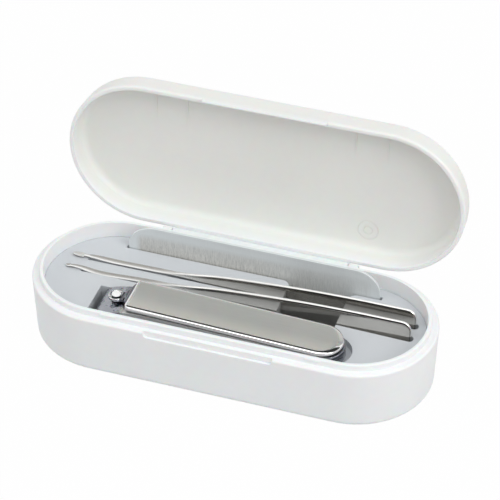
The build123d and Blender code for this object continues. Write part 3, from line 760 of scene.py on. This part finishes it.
# --- nail file
@dataclass
class NailFile:
    """Blade on edge with a cut field on each side."""

    length: float = 80.0
    middle: float = 0.8
    height: float = 15.7
    thick: float = 0.8
    edge: float = 0.18
    row: float = 16.35
    top: float = 26.1
    left_run: float = 9.5
    border: float = 2.4
    sunk: float = 0.03
    rise: float = 0.04
    rise_run: float = 0.25
    relief: float = 0.03
    pitch: float = 0.5
    soft: float = 1.8
    fade_from: float = 2.0
    fade_run: float = 30.0
    grid: tuple[int, int] = (29, 1100)

    def middles(self) -> tuple[float, float, float]:
        """Places x of the middles of the left and right ends, and their height."""
        left = self.middle - self.length / 2 + self.left_run
        return left, self.middle + self.length / 2 - self.height / 2, self.top - self.height / 2

    def blade(self) -> Array:
        """Points of the blade with softly rounded edges.

        The right end is a half circle and the left end half an ellipse. The spine is the straight
        line between their middles.

        Returns:
            Array of profile steps × rim points × 3.
        """
        radius = self.height / 2
        left, right, z = self.middles()
        turn = np.linspace(-RIGHT_ANGLE, RIGHT_ANGLE, 40)
        along = np.linspace(right, left, 24)[1:-1]
        x = np.concatenate([right + radius * np.cos(turn), along,
                            left - self.left_run * np.cos(turn), along[::-1]])
        up = np.concatenate([np.sin(turn), 1 + 0 * along, -np.sin(turn), -1 + 0 * along]) * radius
        spine = np.concatenate([right + 0 * turn, along, left + 0 * turn, along[::-1]])
        y = self.row + 0 * x
        insets, levels = round_edge(self.thick, self.edge)
        return plate_surface(np.stack([x, y, z + up], 1), np.stack([spine, y, z + 0 * x], 1),
                             insets, levels - self.thick / 2, np.array([0.0, -1.0, 0.0]))

    def cut_field(self, side: int) -> tuple[Array, Array]:
        """Points of the cut field on one side, and the strength of its streaks.

        The relief is a wave along the blade, slightly bent by the height, and dies out at the
        field's edge. The streaks fade over a wider strip there, grow towards the blade's foot and
        weaken to the right.

        Args:
            side: -1 for the side towards the tools, 1 for the other.

        Returns:
            Array of rows, from the lower edge up, × columns × 3, and the strength at each point.
        """
        inner, run = self.height / 2 - self.border, self.left_run - self.border
        left, right, middle_z = self.middles()
        rows, columns = self.grid
        x = np.linspace(left - run, right + inner, columns)
        past_right = np.clip((x - right) / inner, 0, 1)
        past_left = np.clip((left - x) / run, 0, 1)
        reach = inner * (1 - past_right ** 4) ** 0.25 * (1 - past_left ** 4) ** 0.25
        share = np.linspace(-1, 1, rows)[:, None]
        z = share * reach[None]
        inside = np.minimum(reach[None] * (1 - abs(share)), np.minimum(x - x[0], x[-1] - x)[None])
        bend = 1.6 * np.sin(z / 1.7) + 0.9 * np.sin(x[None] / 0.83)
        wave = 0.5 + 0.5 * np.sin(2 * math.pi * x[None] / self.pitch + bend)
        raised = np.clip(inside / self.rise_run, 0, 1) * (self.rise + self.relief * wave)
        out = self.thick / 2 - self.sunk + raised
        fade = np.clip(inside / self.soft, 0, 1) ** 1.3 * np.clip(0.66 - 0.38 * z / inner, 0, 1)
        fade = fade * (1 - 0.75 * np.clip((x - self.fade_from) / self.fade_run, 0, 1))[None]
        return np.stack([x[None] + 0 * z, self.row + side * out, middle_z + z], axis=-1), fade

    def build(self) -> None:
        """Make the blade and its two fields."""
        blade = Piece("file_blade", "file", "file_steel", FILE_PLAIN.material())
        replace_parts(blade.from_grid(self.blade(), wrap_columns=True), "nail_file")
        cut = FILE_CUT.material()
        for name, side in (("file_cut_front", -1), ("file_cut_back", 1)):
            points, fade = self.cut_field(side)
            if side < 0:
                points, fade = points[:, ::-1], fade[:, ::-1]
            Piece(name, "file", "file_steel", cut).from_grid(points, weighted=False, fade=fade)


# --- ear tools
@dataclass(frozen=True)
class TipShape:
    """Sizes of a working end, and how far the painted light on its rod reaches and how strong it
    is.
    """

    half: float
    width: float
    painted_light_reach: float
    painted_light: float


class ToolTip(Enum):
    """Working end of an ear tool."""

    SPOON = TipShape(2.8, 1.0, 5.4, 0.5)
    SCRAPER = TipShape(1.6, 0.7, 3.0, -0.2)


@dataclass
class EarTool:
    """Flat tapering handle on edge, drawn rod and a working end, as one surface.

    The handle's line gives shares of the tool's length from the right end, with shares of the half
    height there. The rod's line gives shares of the length from the left end, with heights above
    the axis in the same measure.
    """

    node: str
    body: str
    row: float
    tip: ToolTip
    rod_line: list[Span]
    length: float = 108.6
    right: float = 54.4
    axis_z: float = 17.75
    half_height: float = 5.0
    half_thick: float = 0.7
    edge: float = 0.66
    edge_height: float = 1.25
    soft_edge: float = 1.0
    soft_run: float = 14.0
    corner: float = 3.0
    rod_radius: float = 0.66
    tip_radius: float = 0.48
    tip_drop: float = 0.15
    tip_join: float = 1.3
    wire_wide: float = 0.8
    wire_flat: float = 0.45
    wire_lean: float = 20.0
    top_shade_height: float = 2.2

    HANDLE = ((0.0, 1.0), (0.13, 1.0), (0.27, 0.94), (0.39, 0.82), (0.50, 0.65), (0.59, 0.44),
              (0.635, 0.29), (0.67, 0.21), (0.71, 0.165))

    def sections(self) -> Array:
        """Sections of the handle and the rod from the right end to the tip.

        The half height follows the handle's line, then falls to the rod's radius. The right end is
        rounded in height by the corner's quarter circle and in thickness by the edge's. Past the
        neck the sections pass over to the drawn rod's, and back to round ones at the tip.

        Returns:
            Array of sections × points × 3.
        """
        neck = self.right - (self.HANDLE[-1][0] - 0.015) * self.length
        left = self.right - self.length
        knots = [(left + s * self.length, self.axis_z + h * self.half_height)
                 for s, h in self.rod_line]
        end = min(k[0] for k in knots)
        turn = np.linspace(0, RIGHT_ANGLE, 14)
        head = self.right - self.corner * (1 - np.cos(turn[::-1]))
        runs = [head, np.linspace(head[-1] - 1.0, neck, 70), np.linspace(neck - 0.6, end, 70)]
        x = np.unique(np.concatenate(runs))[::-1]
        handle = [(self.right - s * self.length, h * self.half_height)
                  for s, h in self.HANDLE[::-1]]
        shape = np.minimum(smooth_line(handle, x), self.half_height)
        shape = np.where(x > self.right - self.HANDLE[1][0] * self.length, self.half_height, shape)
        along_rod = np.clip((x - end) / (neck - end), 0, 1)
        rod = self.tip_radius + (self.rod_radius - self.tip_radius) * along_rod
        past = np.clip((x - (self.right - self.corner)) / self.corner, 0, 1)
        half_z = np.where(x > neck, shape, rod) - self.corner * (1 - np.sqrt(1 - past ** 2))
        half_z = np.maximum(half_z, rod * (x <= self.right))
        rim = np.clip((x - (self.right - self.edge)) / self.edge, 0, 1)
        half_y = np.where(x > neck + 3, self.half_thick, np.minimum(rod, self.half_thick))
        half_y = half_y - self.edge * (1 - np.sqrt(1 - rim ** 2))
        line = smooth_line(sorted(knots + [(neck, self.axis_z), (neck + 4, self.axis_z)]), x)
        z = np.where(x > neck, self.axis_z, line)
        blend = np.clip((neck + self.soft_run - x) / self.soft_run, 0, 1)
        corner_y = self.edge + (self.soft_edge - self.edge) * blend ** 2
        square = rounded_sections(x, self.row, z, half_y, half_z, corner_y, self.edge_height)
        wire = smooth_step(np.clip((neck + 5 - x) / 12, 0, 1) * np.clip((x - end) / 7, 0, 1))
        return square + (self.flat_wire(x, z) - square) * wire[:, None, None]

    def flat_wire(self, x: Array, z: Array) -> Array:
        """Sections of the drawn rod: ellipses whose flat sides lean to the front.

        Args:
            x, z: Middle of each section.

        Returns:
            Array of sections × points × 3.
        """
        turn, _, _ = four_quarters(QUARTER_POINTS)
        lean = math.radians(self.wire_lean)
        wide, flat = self.wire_wide * np.cos(turn - lean), self.wire_flat * np.sin(turn - lean)
        across = wide * math.cos(lean) - flat * math.sin(lean)
        up = wide * math.sin(lean) + flat * math.cos(lean)
        along = x[:, None] + 0 * across
        return np.stack([along, self.row + across + 0 * along, z[:, None] + up], axis=-1)

    def working_end(self, last: Array) -> Array:
        """Sections of the spoon's bowl or the scraper's flat tip, past the rod's last section.

        A spoon's section is a shallow arc whose depth follows the bowl's oval, and its wall thins
        to the rim. A scraper's section is an oval that is wide and low.

        Args:
            last: The rod's last section.

        Returns:
            Array of sections × points × 3.
        """
        left = self.right - self.length
        centre = last.mean(0)
        turn = np.arctan2(last[:, 2] - centre[2], last[:, 1] - centre[1])[None]
        half, rise, start = self.tip.value.half, self.axis_z - self.tip_drop, centre[0]
        x = left + half - half * np.cos(np.linspace(0.0, math.pi, 33))
        x = np.sort(x[x < start - 0.05])[::-1][:, None]
        oval = np.sqrt(np.clip(1 - ((x - left - half) / half) ** 2, 0, 1))
        join = np.clip((x - (start - self.tip_join)) / self.tip_join, 0, 1) ** 2
        across = np.maximum(self.tip.value.width * oval, self.tip_radius * join) * np.cos(turn)
        if self.tip is ToolTip.SPOON:
            dish = np.sin(turn) ** 2 * oval * np.where(np.sin(turn) > 0, 0.22, 0.32)
            bowl = 0.16 * np.tanh(4 * np.sin(turn)) * np.clip(oval * 3, 0, 1) - dish
        else:
            bowl = 0.3 * np.clip(oval * 2, 0, 1) * np.sin(turn) + 0.1 * (x - left - half)
        up = bowl * (1 - join) + (centre[2] - rise + self.tip_radius * np.sin(turn)) * join
        return np.stack([x + 0 * turn, self.row + across, rise + up], axis=-1)

    def build(self) -> None:
        """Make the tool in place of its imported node."""
        rod = self.sections()
        points = closed_ends(np.concatenate([rod, self.working_end(rod[-1])]))
        neck = self.right - self.HANDLE[-1][0] * self.length
        tip = self.tip.value
        steel = ToolSteel(f"{self.body}_steel_look", self.row, self.half_thick, neck,
                          self.right - self.length + tip.painted_light_reach, tip.painted_light)
        z = points[..., 2]
        # depth below the top, which the steel turns into painted shade along the sides' upper edge
        fade = np.clip((z.max(axis=1, keepdims=True) - z) / self.top_shade_height, 0, 1)
        made = Piece(f"{self.body}_tool", self.body, "polished_steel", steel.material())
        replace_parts(made.from_grid(points, wrap_columns=True, fade=fade), self.node)


# --- nail clipper
@dataclass
class NailClipper:
    """Clipper arms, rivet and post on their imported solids, and a lever with a polished bevel."""

    row: float = -11.1
    start: Span = (-28.14, 23.2)
    end: Span = (37.4, 21.1)
    thick: float = 1.4
    plate_row: float = -11.4
    half_width: float = 6.85
    corner: float = 2.0
    bevel_in: float = 1.4
    bevel_down: float = 0.6
    tip_bevel: float = 1.3
    crown: float = -0.1
    lower_edge: float = 0.25
    post_x: float = -32.9
    ring_radius: float = 2.4
    hole_radius: float = 1.85
    ring_levels: Span = (20.1, 21.0)
    ring_edge: float = 0.22
    neck_half: float = 1.9
    neck_inset: float = 1.7
    neck_low: float = 20.55
    neck_rise: float = 1.6
    neck_thick: float = 0.9
    neck_edge: float = 0.2
    neck_level: float = 0.4
    bar_levels: Span = (20.0, 20.45)
    bar_reach: float = 0.95
    bar_middle: float = 1.6
    bar_edge: float = 0.1
    dome_radius: float = 1.4
    dome_rise: float = 0.3
    dome_foot: float = 21.3
    dome_sunk: float = 0.1

    def axes(self) -> tuple[float, Array, Array]:
        """Frame of the plate's top.

        Returns:
            Its length, and its unit vectors along and up.
        """
        (x0, z0), (x1, z1) = self.start, self.end
        length = math.hypot(x1 - x0, z1 - z0)
        along = np.array([(x1 - x0) / length, 0.0, (z1 - z0) / length])
        return length, along, np.array([-along[2], 0.0, along[0]])

    def plate(self) -> Array:
        """Points of the lever's plate.

        The rim is a half circle at the right, two straight sides and a left end with rounded
        corners. A point that is inset by d lies on the rim of a plate that is d smaller all round:
        the half circle shrinks to its middle, and the sides and the left end each move in by d.
        The upper edge is a wide low quarter ellipse that grows wider towards the tip, and the
        lower edge a quarter circle. The plate is raised by the crown times (0.5 − s²), where s is
        the distance from its middle line as a share of its half width.

        Returns:
            Array of profile steps × rim points × 3.
        """
        length, along, normal = self.axes()
        half, corner = self.half_width, self.corner
        centre = length - half
        turn = np.linspace(-RIGHT_ANGLE, RIGHT_ANGLE, 61)
        side = np.linspace(centre, corner, 60)[1:]
        quarter = np.linspace(0, RIGHT_ANGLE, 12)[1:]
        left_u, left_v = corner * (1 - np.sin(quarter)), half - corner + corner * np.cos(quarter)
        cross = np.linspace(left_v[-1], -left_v[-1], 18)[1:-1]
        u = np.concatenate([centre + half * np.cos(turn), side, left_u, 0 * cross,
                            left_u[::-1], side[::-1]])
        v = np.concatenate([half * np.sin(turn), half + 0 * side, left_v, cross,
                            -left_v[::-1], -half + 0 * side])
        t, low = np.linspace(0, RIGHT_ANGLE, 13), np.linspace(0, RIGHT_ANGLE, 5)
        flats = [self.bevel_in + 0.1, self.bevel_in + 0.5, 3.0, 4.2, 5.6, half]
        insets = np.concatenate([[half, 4.0, 1.2], self.lower_edge * (1 - np.sin(low)),
                                 self.bevel_in * (1 - np.cos(t)), flats])[:, None]
        bevel = self.thick - self.bevel_down * (1 - np.sin(t))
        under = self.lower_edge * (1 - np.cos(low))
        levels = np.concatenate([[0, 0, 0], under, bevel, [self.thick] * len(flats)]) - self.thick
        tipward = np.clip((u - centre) / half, 0, 1) ** 2
        wider = insets * (1 + self.tip_bevel * tipward * (1 - insets / half))
        share = 1 - np.minimum(wider / half, 1.0)
        room = (half - insets).clip(0)
        inner_u = np.where(u > centre, centre + (u - centre) * share, np.maximum(u, insets))
        inner_v = np.where(u > centre, v * share, np.clip(v, -room, room))
        flat = np.array([self.start[0], self.plate_row, self.start[1]]) + inner_u[..., None] * along
        flat = flat + inner_v[..., None] * np.array([0.0, 1.0, 0.0])
        height = levels[:, None] + self.crown * (0.5 - (inner_v / half) ** 2)
        return flat + height[..., None] * normal

    def neck(self) -> Array:
        """Points of the strap that falls from the plate to the ring.

        Its half width grows from the ring's to nearly the plate's by the way along to the power of
        1.4, and its middle height rises as a smooth S of the way.

        Returns:
            Array of sections × points × 3.
        """
        x = np.linspace(self.post_x + self.ring_radius - 0.75, self.start[0] + 1.0, 17)
        first = x[0] + self.neck_level
        way = np.clip((x - first) / (self.start[0] - first), 0, 1)
        half = self.neck_half + (self.half_width - self.neck_inset - self.neck_half) * way ** 1.4
        z, thick = self.neck_low + self.neck_rise * smooth_step(way), self.neck_thick / 2 + 0 * x
        edge = self.neck_edge
        return closed_ends(rounded_sections(x, self.row, z, half, thick, edge, edge))

    def about_post(self, r: Array, z: Array, count: int) -> Array:
        """Points of a profile turned about the post's axis.

        Args:
            r: Distance of each profile point from the axis.
            z: Height of each profile point.
            count: Copies of the profile round the axis.

        Returns:
            Array of copies × profile points × 3.
        """
        about = np.linspace(0, 2 * math.pi, count, endpoint=False)[:, None]
        x, y = self.post_x + r * np.cos(about), self.row + r * np.sin(about)
        return np.stack([x, y, z + 0 * about], axis=-1)

    def ring(self) -> Array:
        """Ring round the post: a rounded rectangle carried round the post's axis.

        Returns:
            Array of copies × section points × 3.
        """
        (low, high), edge = self.ring_levels, self.ring_edge
        turn, sign_r, sign_z = four_quarters(6)
        half_r, half_z = (self.ring_radius - self.hole_radius) / 2, (high - low) / 2
        r = self.hole_radius + half_r + sign_r * (half_r - edge) + edge * np.cos(turn)
        z = low + half_z + sign_z * (half_z - edge) + edge * np.sin(turn)
        return self.about_post(r, z, 64)

    def dome(self) -> Array:
        """The post's crown: a low ball segment with a flat foot.

        Returns:
            Array of copies × profile points × 3.
        """
        radius = (self.dome_radius ** 2 + self.dome_rise ** 2) / (2 * self.dome_rise)
        lean = np.linspace(0, math.asin(self.dome_radius / radius), 14)
        r = np.concatenate([radius * np.sin(lean), [self.dome_radius, 0.0]])
        z = np.concatenate([self.dome_rise - radius * (1 - np.cos(lean)), [-self.dome_sunk] * 2])
        return self.about_post(r, self.dome_foot + z, 56)

    def bar(self) -> Array:
        """Segment that hooks into the post's notch: an arc closed by its chord.

        Returns:
            Array of profile steps × rim points × 3.
        """
        low, high = self.bar_levels
        reach = math.acos(-self.bar_reach / self.ring_radius)
        about = np.linspace(reach, 2 * math.pi - reach, 33)
        chord = np.linspace(-1, 1, 14)[1:-1] * self.ring_radius * math.sin(reach)
        x = np.concatenate([self.ring_radius * np.cos(about), -self.bar_reach + 0 * chord])
        y = np.concatenate([self.ring_radius * np.sin(about), chord])
        z = low + 0 * x
        rim = np.stack([self.post_x + x, self.row + y, z], 1)
        spine = np.stack([self.post_x - self.bar_middle + 0 * x, self.row + 0.6 * y, z], 1)
        insets, levels = round_edge(high - low, self.bar_edge, 4)
        return plate_surface(rim, spine, insets, levels, np.array([0.0, 0.0, 1.0]))

    def build(self) -> None:
        """Dress the arms, the rivet and the post, and lay the lever."""
        polished = POLISHED.material()
        arms = ArmSteel("arm_steel_look").material()
        for node in ("clipper_lower_arm", "clipper_upper_arm", "clipper_rivet"):
            dress(node, arms)
        # the post's dark chrome is painted shade
        dress("clipper_post", SHADE_CHROME.material())
        normal = tuple(float(n) for n in self.axes()[2])
        steel = LeverSteel("lever_steel_look", normal, self.plate_row).material()
        lever = ("lever", "satin_steel")
        plate = Piece("lever_plate", *lever, steel).from_grid(self.plate(), wrap_columns=True)
        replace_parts(plate, "clipper_lever")
        # the dome's near-white steel is a painted highlight
        crown = Piece("post_crown", "clipper", "polished_steel", CROWN_HIGHLIGHT.material())
        crown.from_grid(self.dome(), wrap_rows=True)
        # the neck's dark chrome is painted shade
        neck = Piece("lever_neck", *lever, SHADE_CHROME.material())
        neck.from_grid(self.neck(), wrap_columns=True)
        ring = Piece("lever_ring", *lever, polished)
        ring.from_grid(self.ring(), wrap_rows=True, wrap_columns=True)
        Piece("lever_bar", *lever, polished).from_grid(self.bar(), wrap_columns=True)


# --- studio
@dataclass
class Studio:
    """Camera, floor, world, lamps and cards."""

    target: Point = (5.20, 0.0, 38.93)
    distance: float = 735.1
    azimuth: float = 18.326
    elevation: float = 38.346
    lens: float = 181.3
    sensor: float = 36.0
    fill: float = 0.6
    white_share: float = 0.985
    floor_half: float = 3.0

    def camera(self) -> None:
        """Set the camera at its viewing angle."""
        a, e = math.radians(self.azimuth), math.radians(self.elevation)
        back = Vector((math.sin(a) * math.cos(e), -math.cos(a) * math.cos(e), math.sin(e)))
        data = bpy.data.cameras.new("camera")
        data.lens, data.sensor_width = self.lens, self.sensor
        data.clip_start, data.clip_end = 0.01, 20.0
        made = add_object("camera", data)
        made.location = Vector(self.target) * MM + back * self.distance * MM
        made.rotation_euler = back.to_track_quat("Z", "Y").to_euler()
        bpy.context.scene.camera = made

    def sheet(self, name: str, first: Point, last: Point, look: Material) -> bpy.types.Object:
        """Lay a flat sheet that is level along X.

        Args:
            name: Name of the sheet.
            first, last: Two opposite corners in metres.
            look: Its material.

        Returns:
            The sheet's object.
        """
        (x0, y0, z0), (x1, y1, z1) = first, last
        mesh = bpy.data.meshes.new(name)
        corners = [(x0, y0, z0), (x1, y0, z0), (x1, y1, z1), (x0, y1, z1)]
        mesh.from_pydata(corners, [], [(0, 1, 2, 3)])
        mesh.materials.append(look)
        return add_object(name, mesh)

    def floor(self) -> None:
        """Lay a pale floor that shows white to the camera and keeps a soft shadow."""
        s = Shader("floor_look")
        pale = s.mix(s.noise(6.0, 2.0), (0.6, 0.6, 0.6), (0.62, 0.62, 0.62))
        matt = s.node("ShaderNodeBsdfDiffuse", Color=pale).outputs[0]
        both = s.node("ShaderNodeMixShader", Fac=seen_directly(s.tree) * self.white_share)
        feed(both.inputs[1], matt)
        feed(both.inputs[2], s.glow(1.0))
        half, look = self.floor_half, s.output(both.outputs[0])
        made = self.sheet("floor", (-half, -half, 0.0), (half, half, 0.0), look)

    def card(self, name: str, first: Point, last: Point, level: float) -> None:
        """Hang a card that only polished metal reflects, as a studio's flag does.

        Args:
            name: Name of the card.
            first, last: Two opposite corners in metres.
            level: Brightness, where 1 is white.
        """
        s = Shader(f"{name}_look")
        made = self.sheet(name, first, last, s.output(s.glow(level)))
        made.visible_camera = made.visible_diffuse = made.visible_shadow = False
        made.visible_transmission = made.visible_volume_scatter = False

    def world(self) -> None:
        """Surround the stage with even light that is white to the camera and in polished metal."""
        made = bpy.data.worlds.new("studio")
        bpy.context.scene.world = made
        made.use_nodes = True
        tree = made.node_tree
        tree.nodes.clear()
        background = tree.nodes.new("ShaderNodeBackground")
        feed(background.inputs[0], (1.0, 1.0, 1.0))
        feed(background.inputs[1], seen_directly(tree) * (1.0 - self.fill) + self.fill)
        feed(tree.nodes.new("ShaderNodeOutputWorld").inputs[0], background.outputs[0])

    def lamp(self, name: str, place: Point, size: float, power: float) -> None:
        """Hang one soft lamp that points at the case.

        Args:
            name: Lamp's name.
            place: Place in metres.
            size: Side of the square in metres.
            power: Power in watts.
        """
        data = bpy.data.lights.new(name, "AREA")
        data.shape, data.size, data.energy = "SQUARE", size, power
        made = add_object(name, data)
        made.location = place
        back = Vector(place) - Vector((0, 0, 0.03))
        made.rotation_euler = back.to_track_quat("Z", "Y").to_euler()

    def build(self) -> None:
        """Set up the whole studio."""
        bpy.context.scene.view_settings.view_transform = "Standard"
        self.camera()
        self.floor()
        self.world()
        self.lamp("lamp_top", (0.126, -0.28, 0.9), 0.7, 2.0)
        self.lamp("lamp_right", (0.92, -0.42, 0.72), 0.6, 4.7)
        self.lamp("lamp_left", (-0.8, -0.35, 0.65), 0.6, 1.5)
        self.card("card_front", (-0.13, -0.45, 0.0), (0.5, -0.45, 0.34), 0.02)
        self.card("card_back", (-0.6, 0.07, 0.45), (0.5, 0.36, 0.45), 0.04)


SPOON_ROD = [(0.193, -0.03), (0.11, -0.03), (0.069, 0.0), (0.0368, -0.02)]
SCRAPER_ROD = [(0.157, -0.14), (0.106, -0.19), (0.078, -0.14), (0.0415, -0.02), (0.0138, -0.04)]


def main() -> None:
    """Build every piece and the studio."""
    logging.basicConfig(level=logging.INFO, format="%(name)s %(message)s")
    Studio().build()
    Case().build()
    NailFile().build()
    EarTool("ear_spoon", "spoon", 7.4, ToolTip.SPOON, SPOON_ROD).build()
    EarTool("ear_scraper", "scraper", 1.55, ToolTip.SCRAPER, SCRAPER_ROD).build()
    NailClipper().build()
    bpy.context.view_layer.update()


if __name__ == "__main__":
    main()
